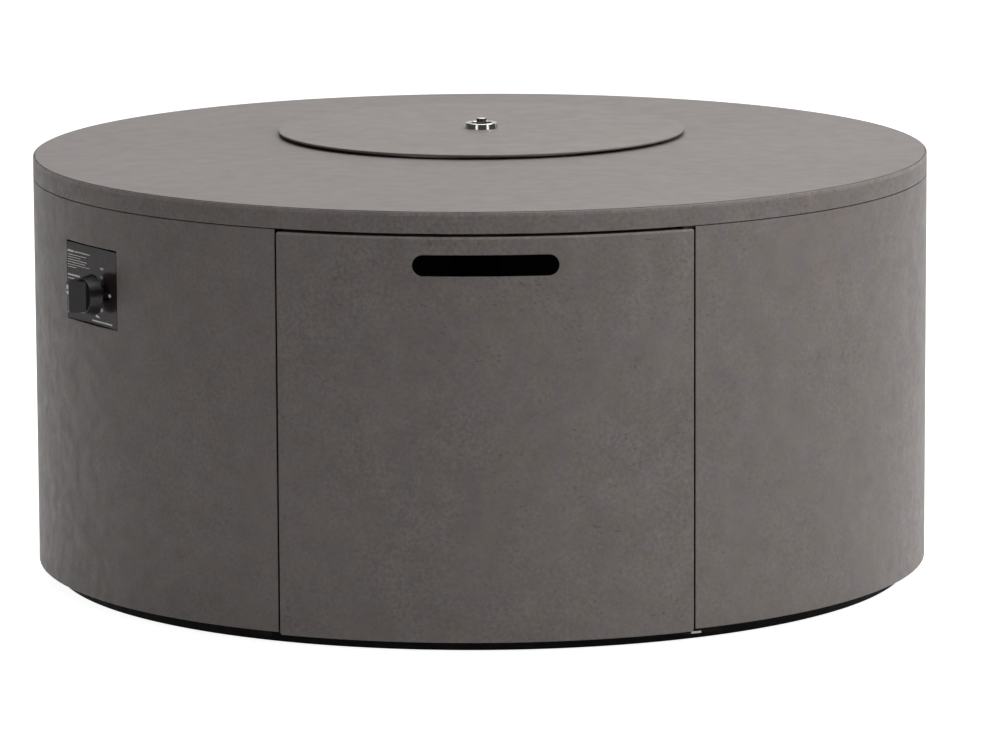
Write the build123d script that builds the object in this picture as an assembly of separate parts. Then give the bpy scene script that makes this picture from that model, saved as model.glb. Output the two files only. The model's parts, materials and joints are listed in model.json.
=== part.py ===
from build123d import *
from math import asin, cos, degrees, pi, radians, sin, sqrt
import os

# Sizes are in millimetres. Bearings are degrees in plan from the front of the table, positive to the right.

# Overall body
body_radius = 530.0
table_height = 500.0
sheet = 1.5
seat_gap = 0.3
cut_overrun = 30.0

# Floor pads, plinth ring and base tray
pad_radius = 18.0
pad_height = 8.0
pad_inset = 40.0
pad_count = 6
plinth_recess = 21.6
plinth_wall = 2.5
plinth_floor_gap = 0.5
tray_sheet = 2.0
tray_vent_length = 90.0
tray_vent_width = 10.0
tray_vent_inset = 150.0
tray_vent_count = 8

# Shell panels
shell_bottom = 15.6
opening_half_bearing = 26.35
rear_seam = 1.0
joint_strip_width = 60.0
joint_strip_end_gap = 20.0
rear_vent_length = 90.0
rear_vent_height = 7.0
rear_vent_pitch = 16.0
rear_vent_floor = 70.0
rear_vent_offset = 75.0
rear_vent_rows = 5

# Frame posts
post_width = 25.0
post_wall = 1.5
jamb_setback = 10.0
side_post_bearings = (-145.0, -88.0, 88.0, 145.0)

# Table top, rim band and top frame
rim_height = 24.5
rim_seam = 1.0
rim_step = 0.8
rim_round = 0.7
top_sheet = 2.0
top_edge_gap = 0.6
top_ring_width = 36.0
top_ring_wall = 1.5
rail_width = 20.0
rail_height = 20.0
rail_pan_gap = 15.0

# Door
door_side_gap = 1.8
door_top_gap = 3.5
door_drop = 2.8
door_return = 18.0
door_corner_radius = 3.0
door_edge_round = 1.2
slot_length = 163.5
slot_height = 24.0
slot_drop = 32.3
brace_height = 30.0
brace_depth = 12.0
brace_side_gap = 55.0

# Door pivots
pivot_block_width = 12.0
pivot_block_depth = 12.0
pivot_block_height = 25.0
pivot_pin_radius = 3.0
pivot_pin_length = 22.0
pivot_clearance = 0.05
pivot_skin_gap = 0.5
pivot_notch_gap = 1.5
hinge_plate = 2.5
hinge_plate_length = 34.0
hinge_plate_corner = 3.0
hinge_eye_margin = 6.0
hinge_bolt_radius = 2.5
hinge_bolt_clearance = 0.25
hinge_bolt_head_radius = 4.5
hinge_bolt_head = 3.5
hinge_bolt_spacing = 13.0
hinge_bolt_inset = 6.0

# Door catch
catch_height = 240.0
catch_length = 40.0
catch_depth = 16.0
catch_reach = 17.0
catch_return_gap = 2.2
magnet_length = 28.0
magnet_width = 12.0
magnet_depth = 5.0
magnet_clearance = 0.1
strike_sheet = 1.5
strike_length = 30.0
strike_leg = 17.0

# Control window, plate and dial
window_bearing = -58.55
window_width = 118.2
window_height = 92.0
window_drop = 117.5
window_corner_radius = 2.0
plate_margin = 8.0
plate_thickness = 2.0
field_top_gap = 2.4
field_bottom_gap = 0.8
field_side_gap = 0.9
knob_across = 21.1
knob_up = -7.9
stud_radius = 2.0
stud_clearance = 0.25
stud_inset = 4.0
stud_nut_flats = 7.0
stud_nut_height = 3.2
stud_tail = 3.0

# Control knob
knob_base_radius = 23.5
knob_rim_radius = 20.5
knob_lift = 10.3
knob_barrel = 14.5
knob_hub_radius = 13.0
knob_hub_lift = 5.0
knob_cavity_radius = 10.6
knob_cavity = 10.0
knob_edge_round = 0.8
grip_base_width = 20.0
grip_front_width = 7.5
grip_front_length = 34.0
grip_height = 18.4
grip_rim_gap = 1.2
grip_edge_round = 1.2

# Spindle, push collar and return spring
spindle_radius = 4.0
spindle_flat = 1.0
spindle_knob_depth = 14.0
spindle_valve_depth = 24.0
spindle_clearance = 0.05
collar_radius = 10.0
collar_thickness = 2.5
collar_clearance = 0.1
spring_radius = 8.8
spring_wire_radius = 0.5
spring_turns = 4

# Gas valve and piezo igniter
valve_flange_width = 46.0
valve_flange_height = 36.0
valve_flange = 3.0
valve_body_radius = 17.0
valve_body_length = 50.0
valve_neck_radius = 7.0
valve_neck_clearance = 0.3
valve_neck_height = 0.8
valve_spindle_room = 6.0
valve_screw_spread = 27.0
valve_screw_radius = 2.0
valve_screw_clearance = 0.25
valve_screw_head_radius = 3.6
valve_screw_head = 1.0
inlet_boss_radius = 9.0
inlet_boss_length = 28.0
inlet_setback = 38.0
inlet_hex_flats = 17.0
inlet_hex_height = 8.0
hose_tail_radius = 5.0
hose_tail_length = 25.0
hose_tail_chamfer = 1.0
outlet_boss_radius = 8.0
outlet_boss_length = 7.0
piezo_width = 18.0
piezo_height = 16.0
piezo_length = 34.0

# Gas feed pipe
pipe_radius = 4.0
pipe_wall = 1.0
pipe_bend_radius = 60.0
pipe_lead_out = 70.0
pipe_lead_in = 190.0
pipe_nut_flats = 16.0
pipe_nut_length = 12.0
pipe_nut_clearance = 0.1

# Burner pan
burner_setback = 142.0
pan_radius = 200.0
pan_depth = 70.0
pan_sheet = 1.5
pan_flange = 24.0
pan_hole_clearance = 2.0
pan_drain_radius = 4.0
pan_drain_offset = 60.0

# Burner ring
burner_wall_room = 80.0
burner_tube_width = 18.0
burner_tube_height = 16.0
burner_tube_round = 2.0
burner_tube_wall = 1.5
burner_lift = 25.0
cross_tube_radius = 5.0
hub_radius = 16.0
hub_cap = 3.0
spigot_radius = 10.0
spigot_length = 22.0
spigot_clearance = 0.5
spigot_wall = 3.0
port_radius = 1.5
port_count = 40
locknut_flats = 30.0
locknut_height = 9.0
locknut_clearance = 0.15

# Air mixer and inlet elbow
mixer_radius = 16.0
mixer_length = 26.0
mixer_bore_radius = 6.0
mixer_window_radius = 5.0
elbow_radius = 9.0
elbow_height = 22.0
elbow_arm_radius = 7.0
elbow_arm_length = 26.0

# Heat shield
shield_overhang = 14.0
shield_sheet = 1.0
shield_drop = 15.0
shield_hole_radius = 32.0
spacer_radius = 5.0
spacer_inset = 50.0
spacer_count = 3
spacer_first_bearing = 60.0

# Flame probe, spark electrode and their bracket
bracket_sheet = 1.5
bracket_width = 28.0
bracket_height = 30.0
bracket_reach = 18.0
bracket_ring_gap = 12.0
probe_radius = 2.5
probe_length = 42.0
probe_drop = 16.0
electrode_radius = 4.0
electrode_length = 34.0
electrode_drop = 20.0
electrode_wire_radius = 1.0
electrode_wire_rise = 7.0
electrode_wire_bend = 3.0
probe_spread = 14.0
probe_clearance = 0.2
probe_collar = 3.0
probe_collar_margin = 2.0

# Lava rocks on the pan floor
rock_size = 36.0
rock_height = 30.0
rock_room = 48.0
rock_wall_gap = 3.0
rock_tilt = 24.0
rock_turn = 137.5
rock_facet_turn = 45.0
rock_tube_gap = 1.5
bracket_clear_bearing = 17.0

# Lid and its handle
lid_overhang = 21.6
lid_shift_right = 3.5
lid_shift_back = 3.0
lid_sheet = 2.5
lid_edge_round = 0.6
bumper_radius = 7.0
bumper_height = 2.0
bumper_count = 6
bumper_first_bearing = 30.0
handle_radius = 19.75
handle_inner_radius = 13.0
handle_height = 7.0
handle_taper = 0.85
handle_web = 1.5
handle_round = 1.2
stud_post_radius = 6.0
stud_post_height = 11.0
stud_post_round = 1.0
lid_bolt_radius = 3.0
lid_bolt_clearance = 0.25
lid_nut_flats = 10.0
lid_nut_height = 5.0
lid_bolt_tail = 2.0

# Heights and radii that follow from the sizes above
shell_inner_radius = body_radius - sheet
plinth_radius = body_radius - plinth_recess
tray_bottom = pad_height
tray_top = tray_bottom + tray_sheet
rim_bottom = table_height - rim_height
shell_top = rim_bottom - rim_seam
window_centre_height = table_height - window_drop
top_underside = table_height - top_sheet
top_ring_radius = shell_inner_radius - seat_gap
top_ring_inner_radius = top_ring_radius - top_ring_width
door_bottom = shell_bottom - door_drop
door_top = rim_bottom - door_top_gap
door_return_radius = body_radius - door_return
door_half_bearing = opening_half_bearing - degrees(door_side_gap / body_radius)
brace_half_bearing = door_half_bearing - degrees(brace_side_gap / body_radius)
jamb_near = door_side_gap + jamb_setback
jamb_far = jamb_near + post_width
jamb_radius = sqrt((shell_inner_radius - seat_gap) ** 2 - jamb_far ** 2)
pivot_inset = sheet + pivot_block_width / 2
pivot_radius = shell_inner_radius - pivot_skin_gap - pivot_block_depth / 2
lower_plate_top = tray_top + hinge_plate
upper_plate_bottom = rim_bottom - hinge_plate
pan_floor_bottom = table_height - pan_depth
pan_floor = pan_floor_bottom + pan_sheet
pan_flange_top = table_height + pan_sheet
burner_height = pan_floor + burner_lift
burner_radius = pan_radius - burner_wall_room
rail_centre = pan_radius + rail_pan_gap + rail_width / 2
spigot_bottom = pan_floor_bottom - spigot_length
mixer_bottom = spigot_bottom - mixer_length
elbow_arm_height = mixer_bottom - elbow_height / 2
shield_top = pan_floor_bottom - shield_drop
shield_radius = pan_radius + shield_overhang
lid_radius = pan_radius + pan_flange + lid_overhang
lid_bottom = pan_flange_top + bumper_height
lid_top = lid_bottom + lid_sheet
plate_half_width = window_width / 2 + plate_margin
plate_half_height = window_height / 2 + plate_margin
plate_seat = sqrt((shell_inner_radius - seat_gap) ** 2 - plate_half_width ** 2)
field_width = window_width - 2 * field_side_gap
field_height = window_height - field_top_gap - field_bottom_gap
plate_distance = sqrt(body_radius ** 2 - (field_width / 2) ** 2)
field_rise = plate_distance - plate_seat
plate_back = -field_rise - plate_thickness
flange_back = plate_back - valve_flange
valve_back = flange_back - valve_body_length
outlet_back = valve_back - outlet_boss_length
knob_front = knob_lift + knob_barrel
spindle_front = knob_lift + knob_cavity + spindle_knob_depth
rock_reach = rock_size / sqrt(2)


# Shared shapes

def plan_point(radius, bearing):
    """Point in plan at a bearing from the front."""
    return (radius * sin(radians(bearing)), -radius * cos(radians(bearing)))


def disc(radius, bottom, top):
    """Upright cylinder between two heights."""
    low = (Align.CENTER, Align.CENTER, Align.MIN)
    return Pos(0, 0, bottom) * Cylinder(radius, top - bottom, align=low)


def ring(outer_radius, inner_radius, bottom, top):
    """Upright tube between two heights."""
    return disc(outer_radius, bottom, top) - disc(inner_radius, bottom - cut_overrun, top + cut_overrun)


def slab(left, right, inner, outer, bottom, top):
    """Box at the front of the table, from an inner to an outer distance from its axis."""
    low = (Align.MIN, Align.MIN, Align.MIN)
    return Pos(left, -outer, bottom) * Box(right - left, outer - inner, top - bottom, align=low)


def square_tube(left, right, inner, outer, bottom, top, wall):
    """Upright square tube, open at both ends."""
    core_sides = (left + wall, right - wall, inner + wall, outer - wall)
    core = slab(*core_sides, bottom - cut_overrun, top + cut_overrun)
    return slab(left, right, inner, outer, bottom, top) - core


def curved_wall(outer_radius, inner_radius, start, end, bottom, top):
    """Wall that follows the round body between two bearings."""
    middle = (start + end) / 2
    outer_arc = ThreePointArc(*[plan_point(outer_radius, bearing) for bearing in (start, middle, end)])
    inner_arc = ThreePointArc(*[plan_point(inner_radius, bearing) for bearing in (end, middle, start)])
    sides = [Line(outer_arc @ 1, inner_arc @ 0), Line(inner_arc @ 1, outer_arc @ 0)]
    outline = make_face([outer_arc, sides[0], inner_arc, sides[1]])
    return Pos(0, 0, bottom) * extrude(outline, top - bottom, dir=(0, 0, 1))


def hexagon(flats, bottom, top):
    """Upright hexagonal bar between two heights."""
    outline = RegularPolygon(flats / 2, 6, major_radius=False)
    return Pos(0, 0, bottom) * extrude(outline, top - bottom)


def around(shape, radius, count, first_bearing):
    """Copies of a shape on a circle about the axis."""
    copies = []
    for index in range(count):
        bearing = first_bearing + index * 360 / count
        copies.append(Pos(*plan_point(radius, bearing)) * Rot(0, 0, bearing) * shape)
    return copies


def group(solids):
    """Separate solids kept together as one piece."""
    return Compound(children=list(solids))


# Places
right_edge = Rot(0, 0, door_half_bearing)
left_edge = Rot(0, 0, -door_half_bearing)
burner_place = Pos(0, burner_setback, 0)
lid_place = burner_place * Pos(lid_shift_right, lid_shift_back, 0)
window_angle = radians(window_bearing)
plate_origin = (*plan_point(plate_distance, window_bearing), window_centre_height)
plate_across = (cos(window_angle), sin(window_angle), 0)
plate_outward = (sin(window_angle), -cos(window_angle), 0)
plate_place = Plane(plate_origin, x_dir=plate_across, z_dir=plate_outward).location
knob_place = plate_place * Pos(knob_across, knob_up, 0)
inlet_place = knob_place * Pos(0, -inlet_boss_length, -inlet_setback) * Rot(90, 0, 0)


# Base

def floor_pads():
    return group(around(disc(pad_radius, 0, pad_height), plinth_radius - pad_inset, pad_count, 0))


def plinth_ring():
    return ring(plinth_radius, plinth_radius - plinth_wall, plinth_floor_gap, tray_bottom)


def base_tray():
    slot = extrude(SlotOverall(tray_vent_length, tray_vent_width), cut_overrun, both=True)
    slots = around(Pos(0, 0, tray_bottom) * slot, plinth_radius - tray_vent_inset, tray_vent_count, 0)
    bolt_hole = disc(hinge_bolt_radius + hinge_bolt_clearance, tray_bottom - sheet, tray_top + sheet)
    holes = [place * bolt_hole for place in bolt_places()]
    return disc(plinth_radius, tray_bottom, tray_top) - slots - holes


# Shell and frame

def rear_vents(side):
    """Cutters for the column of rear vents on one side of the rear seam."""
    cutters = []
    for row in range(rear_vent_rows):
        height = rear_vent_floor + row * rear_vent_pitch
        slot = extrude(SlotOverall(rear_vent_length, rear_vent_height), cut_overrun, both=True)
        cutters.append(Pos(side * rear_vent_offset, body_radius, height) * Rot(90, 0, 0) * slot)
    return cutters


def shell_panel(side):
    """Half of the round shell, from the door opening to the rear seam."""
    rear_bearing = 180 - degrees(rear_seam / 2 / body_radius)
    ends = sorted((side * opening_half_bearing, side * rear_bearing))
    return curved_wall(body_radius, shell_inner_radius, *ends, shell_bottom, shell_top) - rear_vents(side)


def left_shell():
    outline = RectangleRounded(window_width, window_height, window_corner_radius)
    window = plate_place * extrude(outline, cut_overrun, both=True)
    return shell_panel(-1) - window


def right_shell():
    return shell_panel(1)


def rear_joint_strip():
    outer = shell_inner_radius - seat_gap
    half_bearing = degrees(joint_strip_width / 2 / body_radius)
    bottom = rear_vent_floor + rear_vent_rows * rear_vent_pitch + joint_strip_end_gap
    top = shell_top - joint_strip_end_gap
    return curved_wall(outer, outer - sheet, 180 - half_bearing, 180 + half_bearing, bottom, top)


def jamb(side):
    """Square post beside the door opening, in the frame of that door edge."""
    left, right = sorted((side * jamb_near, side * jamb_far))
    return square_tube(left, right, jamb_radius - post_width, jamb_radius, tray_top, rim_bottom, post_wall)


def left_jamb():
    return left_edge * jamb(-1)


def right_jamb():
    return right_edge * jamb(1)


def side_posts():
    half = post_width / 2
    outer = sqrt((shell_inner_radius - seat_gap) ** 2 - half ** 2)
    post = square_tube(-half, half, outer - post_width, outer, tray_top, rim_bottom, post_wall)
    return group(Rot(0, 0, bearing) * post for bearing in side_post_bearings)


# Table top

def top_ring():
    wall = top_ring_wall
    tube = ring(top_ring_radius, top_ring_inner_radius, rim_bottom, top_underside)
    core_radii = (top_ring_radius - wall, top_ring_inner_radius + wall)
    core = ring(*core_radii, rim_bottom + wall, top_underside - wall)
    bolt_hole = disc(hinge_bolt_radius + hinge_bolt_clearance, rim_bottom - wall, rim_bottom + 2 * wall)
    return tube - core - [place * bolt_hole for place in bolt_places()]


def top_rails():
    outer_edge = rail_centre + rail_width / 2
    reach = sqrt((top_ring_inner_radius - seat_gap) ** 2 - outer_edge ** 2)
    rails = []
    for side in (-1, 1):
        left = side * rail_centre - rail_width / 2
        bottom = top_underside - rail_height
        rails.append(slab(left, left + rail_width, -reach, reach, bottom, top_underside))
    return group(rails)


def rim_band():
    band = ring(body_radius, shell_inner_radius, rim_bottom, table_height - rim_step)
    return fillet(band.edges().group_by(Axis.Z)[-1].sort_by(SortBy.RADIUS)[-1], rim_round)


def table_top():
    plate = disc(shell_inner_radius - top_edge_gap, top_underside, table_height)
    hole_radius = pan_radius + pan_hole_clearance
    return plate - burner_place * disc(hole_radius, top_underside - cut_overrun, table_height + cut_overrun)


# Door

def door_panel():
    ends = (-door_half_bearing, door_half_bearing)
    skin = curved_wall(body_radius, shell_inner_radius, *ends, door_bottom, door_top)
    corners = [edge for edge in skin.edges() if abs(edge.length - sheet) < seat_gap]
    skin = fillet(corners, door_corner_radius)
    middle = body_radius - sheet / 2
    corner_relief = door_corner_radius + sheet
    low = door_bottom + corner_relief
    high = door_top - corner_relief
    corner_bearing = degrees(corner_relief / body_radius)
    notch_bearing = degrees((sheet + pivot_block_width + pivot_notch_gap) / body_radius)
    start = corner_bearing - door_half_bearing
    end = door_half_bearing - notch_bearing
    returns = [
        left_edge * slab(0, sheet, door_return_radius, middle, low, high),
        right_edge * slab(-sheet, 0, door_return_radius, middle, low, high),
        curved_wall(middle, door_return_radius, start, end, door_bottom, door_bottom + sheet),
        curved_wall(middle, door_return_radius, start, end, door_top - sheet, door_top),
    ]
    slot = extrude(SlotOverall(slot_length, slot_height), cut_overrun, both=True)
    slot_place = Pos(0, -body_radius, door_top - slot_drop) * Rot(90, 0, 0)
    panel = skin + returns
    outside = panel.faces().filter_by(GeomType.CYLINDER).sort_by(SortBy.AREA)[-1]
    return fillet(outside.outer_wire().edges(), door_edge_round) - slot_place * slot


def door_brace():
    """Curved channel across the inside of the door, open towards the skin."""
    outer = shell_inner_radius - seat_gap
    bottom = (door_bottom + door_top - brace_height) / 2
    top = bottom + brace_height
    ends = (-brace_half_bearing, brace_half_bearing)
    solid = curved_wall(outer, outer - brace_depth, *ends, bottom, top)
    hollow = curved_wall(outer + sheet, outer - brace_depth + sheet, *ends, bottom + sheet, top - sheet)
    return solid - hollow


# Door pivots, in the frame of the right door edge

def pivot_block(bottom):
    half_width = pivot_block_width / 2
    half_depth = pivot_block_depth / 2
    top = bottom + pivot_block_height
    block = slab(-half_width, half_width, pivot_radius - half_depth, pivot_radius + half_depth, bottom, top)
    bore = Pos(0, -pivot_radius) * disc(pivot_pin_radius + pivot_clearance, bottom - sheet, top + sheet)
    return right_edge * Pos(-pivot_inset, 0) * (block - bore)


def lower_pivot_block():
    return pivot_block(door_bottom)


def upper_pivot_block():
    return pivot_block(door_top - pivot_block_height)


def hinge_outline():
    """Rounded plate that carries a pivot pin at its outer end."""
    left = -pivot_inset - hinge_eye_margin
    right = jamb_near - seat_gap
    width = right - left
    outer = pivot_radius + hinge_eye_margin
    middle = ((left + right) / 2, hinge_plate_length / 2 - outer)
    return Pos(*middle) * RectangleRounded(width, hinge_plate_length, hinge_plate_corner)


def bolt_places():
    """Places of the two bolts across the inner end of a hinge plate."""
    centre = (jamb_near - seat_gap - pivot_inset - hinge_eye_margin) / 2
    depth = pivot_radius + hinge_eye_margin - hinge_plate_length + hinge_bolt_inset
    sides = (-hinge_bolt_spacing / 2, hinge_bolt_spacing / 2)
    return [right_edge * Pos(centre + offset, -depth) for offset in sides]


def hinge_plate_solid(bottom):
    plate = right_edge * Pos(0, 0, bottom) * extrude(hinge_outline(), hinge_plate)
    hole = disc(hinge_bolt_radius + hinge_bolt_clearance, bottom - sheet, bottom + hinge_plate + sheet)
    return plate - [place * hole for place in bolt_places()]


def lower_hinge_plate():
    return hinge_plate_solid(tray_top)


def upper_hinge_plate():
    return hinge_plate_solid(upper_plate_bottom)


def hinge_pins():
    pins = [
        disc(pivot_pin_radius, lower_plate_top, lower_plate_top + pivot_pin_length),
        disc(pivot_pin_radius, upper_plate_bottom - pivot_pin_length, upper_plate_bottom),
    ]
    return group(right_edge * Pos(-pivot_inset, -pivot_radius) * pin for pin in pins)


def hinge_bolts():
    lower_head_top = lower_plate_top + hinge_bolt_head
    upper_head_bottom = upper_plate_bottom - hinge_bolt_head
    lower_bolt = disc(hinge_bolt_radius, tray_bottom, lower_plate_top)
    lower_bolt += hexagon(2 * hinge_bolt_head_radius, lower_plate_top, lower_head_top)
    upper_bolt = disc(hinge_bolt_radius, upper_plate_bottom, rim_bottom + 2 * top_ring_wall)
    upper_bolt += hexagon(2 * hinge_bolt_head_radius, upper_head_bottom, upper_plate_bottom)
    return group(place * bolt for bolt in (lower_bolt, upper_bolt) for place in bolt_places())


# Door catch, in the frame of the left door edge
catch_face_radius = door_return_radius - catch_return_gap - strike_sheet
magnet_centre = (catch_reach + sheet) / 2


def magnet_slab(clearance):
    half_width = magnet_width / 2 + clearance
    half_length = magnet_length / 2 + clearance
    left = magnet_centre - half_width
    right = magnet_centre + half_width
    back = catch_face_radius - magnet_depth - clearance
    heights = (catch_height - half_length, catch_height + half_length)
    return slab(left, right, back, catch_face_radius, *heights)


def catch_body():
    half = catch_length / 2
    inner = catch_face_radius - catch_depth
    body = slab(-jamb_near, catch_reach, inner, catch_face_radius, catch_height - half, catch_height + half)
    return left_edge * (body - magnet_slab(magnet_clearance))


def catch_magnet():
    return left_edge * magnet_slab(0)


def strike_plate():
    half = strike_length / 2
    near = catch_face_radius + seat_gap
    heights = (catch_height - half, catch_height + half)
    foot = slab(sheet, catch_reach, near, near + strike_sheet, *heights)
    leg = slab(sheet, sheet + strike_sheet, near, near + strike_leg, *heights)
    return left_edge * (foot + leg)


# Control plate, in the frame of the window

def stud_places():
    across = plate_half_width - stud_inset
    up = plate_half_height - stud_inset
    return [Pos(x, y) for x in (-across, across) for y in (-up, up)]


def valve_screw_places():
    half = valve_screw_spread / 2
    return [Pos(knob_across + side * half, knob_up) for side in (-1, 1)]


def control_plate():
    """Plate behind the shell with a raised field that fills the window."""
    blank = extrude(Rectangle(2 * plate_half_width, 2 * plate_half_height), -plate_thickness)
    outline = RectangleRounded(field_width, field_height, window_corner_radius - field_side_gap)
    field = Pos(0, (field_bottom_gap - field_top_gap) / 2) * extrude(outline, field_rise)
    blank = Pos(0, 0, -field_rise) * (blank + field)
    stud_hole = disc(stud_radius + stud_clearance, -cut_overrun, cut_overrun)
    screw_hole = disc(valve_screw_radius + valve_screw_clearance, -cut_overrun, cut_overrun)
    neck_hole = disc(valve_neck_radius + valve_neck_clearance, -cut_overrun, cut_overrun)
    holes = [place * stud_hole for place in stud_places()]
    holes += [place * screw_hole for place in valve_screw_places()]
    holes.append(Pos(knob_across, knob_up) * neck_hole)
    return plate_place * (blank - holes)


def panel_studs():
    """Studs on the inside of the shell with the nuts that hold the control plate."""
    reach = sqrt(shell_inner_radius ** 2 - (plate_half_width - stud_inset + stud_radius) ** 2)
    front = reach - plate_distance - seat_gap
    nut_back = plate_back - stud_nut_height
    studs = []
    for place in stud_places():
        shank = disc(stud_radius, nut_back - stud_tail, front)
        nut = hexagon(stud_nut_flats, nut_back, plate_back)
        studs.append(plate_place * place * (shank + nut))
    return group(studs)


# Control knob and gas valve, in the frame of the knob axis

def standing_box(width, height, length):
    """Box that stands on the line through the origin and runs outward from it."""
    return Box(width, height, length, align=(Align.CENTER, Align.MIN, Align.MIN))


def spindle_bar(radius, flat, back, front):
    """Round bar with one flat along it."""
    bar = disc(radius, back, front)
    return bar - Pos(0, radius - flat, back) * standing_box(2 * radius, flat, front - back)


def knob_grip():
    """Upright blade on the knob's front, which narrows outward."""
    foot = Rectangle(grip_base_width, 2 * knob_rim_radius)
    tip = Pos(0, 0, grip_height) * Rectangle(grip_front_width, grip_front_length)
    blade = loft([foot, tip]) & disc(knob_rim_radius - grip_rim_gap, 0, grip_height)
    return Pos(0, 0, knob_front) * fillet(blade.edges().group_by(Axis.Z)[-1], grip_edge_round)


def control_knob():
    low = (Align.CENTER, Align.CENTER, Align.MIN)
    barrel = Pos(0, 0, knob_lift) * Cone(knob_base_radius, knob_rim_radius, knob_barrel, align=low)
    barrel = fillet(barrel.edges().group_by(Axis.Z)[-1], knob_edge_round)
    hub = disc(knob_hub_radius, knob_hub_lift, knob_lift)
    cavity = disc(knob_cavity_radius, 0, knob_lift + knob_cavity)
    clear = spindle_clearance
    bore = spindle_bar(spindle_radius + clear, spindle_flat, knob_lift, spindle_front + clear)
    return knob_place * (barrel + hub + knob_grip() - cavity - bore)


def valve_spindle():
    shaft = disc(spindle_radius, -spindle_valve_depth, knob_lift)
    return knob_place * (shaft + spindle_bar(spindle_radius, spindle_flat, knob_lift, spindle_front))


def push_collar():
    front = knob_lift + knob_cavity - collar_clearance
    back = front - collar_thickness
    return knob_place * ring(collar_radius, spindle_radius + collar_clearance, back, front)


def return_spring():
    start = spring_wire_radius + collar_clearance
    collar_back = knob_lift + knob_cavity - collar_clearance - collar_thickness
    height = collar_back - collar_clearance - spring_wire_radius - start
    path = Pos(0, 0, start) * Helix(height / spring_turns, height, spring_radius)
    section = Plane(path @ 0, z_dir=path % 0) * Circle(spring_wire_radius)
    return knob_place * sweep(section, path, is_frenet=True)


def gas_valve():
    flange_outline = Rectangle(valve_flange_width, valve_flange_height)
    flange = Pos(0, 0, flange_back) * extrude(flange_outline, valve_flange)
    body = disc(valve_body_radius, valve_back, flange_back)
    neck = disc(valve_neck_radius, flange_back, valve_neck_height)
    outlet = disc(outlet_boss_radius, outlet_back, valve_back)
    inlet = Pos(0, 0, -inlet_setback) * Rot(90, 0, 0) * disc(inlet_boss_radius, 0, inlet_boss_length)
    room = -spindle_valve_depth - valve_spindle_room
    bore = disc(spindle_radius + spindle_clearance, room, knob_lift)
    screw_hole = disc(valve_screw_radius + valve_screw_clearance, flange_back - seat_gap, 0)
    half = valve_screw_spread / 2
    holes = [Pos(side * half, 0) * screw_hole for side in (-1, 1)]
    return knob_place * (flange + body + neck + outlet + inlet - bore - holes)


def valve_screws():
    shank = disc(valve_screw_radius, flange_back, 0)
    head = disc(valve_screw_head_radius, 0, valve_screw_head)
    return group(plate_place * place * (shank + head) for place in valve_screw_places())


def piezo_module():
    """Spark box that stands on the upper edge of the valve flange."""
    bottom = valve_flange_height / 2
    back = plate_back - piezo_length
    return knob_place * Pos(0, bottom, back) * standing_box(piezo_width, piezo_height, piezo_length)


def inlet_fitting():
    hexagon_body = hexagon(inlet_hex_flats, 0, inlet_hex_height)
    tail = disc(hose_tail_radius, inlet_hex_height, inlet_hex_height + hose_tail_length)
    tail = chamfer(tail.edges().group_by(Axis.Z)[-1], hose_tail_chamfer)
    return inlet_place * (hexagon_body + tail)


# Feed pipe from the valve to the burner

def feed_pipe():
    start = (knob_place * Pos(0, 0, outlet_back)).position
    bend = (knob_place * Pos(0, 0, outlet_back - pipe_lead_out)).position
    finish = Vector(-elbow_arm_length, burner_setback, elbow_arm_height)
    approach = finish - Vector(pipe_lead_in, 0, 0)
    path = FilletPolyline(start, bend, approach, finish, radius=pipe_bend_radius)
    section = Plane(start, z_dir=path % 0) * (Circle(pipe_radius) - Circle(pipe_radius - pipe_wall))
    return sweep(section, path)


def pipe_nuts():
    nut = hexagon(pipe_nut_flats, 0, pipe_nut_length)
    nut -= disc(pipe_radius + pipe_nut_clearance, -cut_overrun, pipe_nut_length + cut_overrun)
    valve_end = knob_place * Pos(0, 0, outlet_back - pipe_nut_length)
    burner_end = Pos(-elbow_arm_length, burner_setback, elbow_arm_height) * Rot(0, -90, 0)
    return group([valve_end * nut, burner_end * nut])


# Burner, in the frame of its own axis

def burner_pan():
    flange = ring(pan_radius + pan_flange, pan_radius - pan_sheet, table_height, pan_flange_top)
    wall = ring(pan_radius, pan_radius - pan_sheet, pan_floor_bottom, pan_flange_top)
    floor = disc(pan_radius, pan_floor_bottom, pan_floor)
    spigot_hole = disc(spigot_radius + spigot_clearance, pan_floor_bottom - sheet, pan_floor + sheet)
    drain = Pos(0, pan_drain_offset) * disc(pan_drain_radius, pan_floor_bottom - sheet, pan_floor + sheet)
    return burner_place * (flange + wall + floor - spigot_hole - drain)


def burner_tube(inset):
    """Flat ring tube of the burner, or its core when the inset is the wall."""
    half_width = burner_tube_width / 2 - inset
    half_height = burner_tube_height / 2 - inset
    heights = (burner_height - half_height, burner_height + half_height)
    return ring(burner_radius + half_width, burner_radius - half_width, *heights)


def burner_ring():
    hub_top = burner_height + cross_tube_radius + hub_cap
    cross_length = 2 * burner_radius
    across = Pos(0, 0, burner_height) * Rot(0, 90, 0)
    tube = burner_tube(0)
    tube = fillet(tube.edges().filter_by(GeomType.CIRCLE), burner_tube_round)
    cross = across * Cylinder(cross_tube_radius, cross_length)
    hub = disc(hub_radius, pan_floor, hub_top) + disc(spigot_radius, spigot_bottom, pan_floor)
    cross_bore = across * Cylinder(cross_tube_radius - burner_tube_wall, cross_length)
    hub_bore = disc(spigot_radius - spigot_wall, spigot_bottom, hub_top - hub_cap)
    port = disc(port_radius, burner_height, burner_height + burner_tube_height)
    ports = around(port, burner_radius, port_count, 180 / port_count)
    bores = [burner_tube(burner_tube_wall), cross_bore, hub_bore]
    return burner_place * (tube + cross + hub - bores - ports)


def burner_locknut():
    nut = hexagon(locknut_flats, pan_floor_bottom - locknut_height, pan_floor_bottom)
    bore = disc(spigot_radius + locknut_clearance, spigot_bottom, pan_floor)
    return burner_place * (nut - bore)


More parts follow.
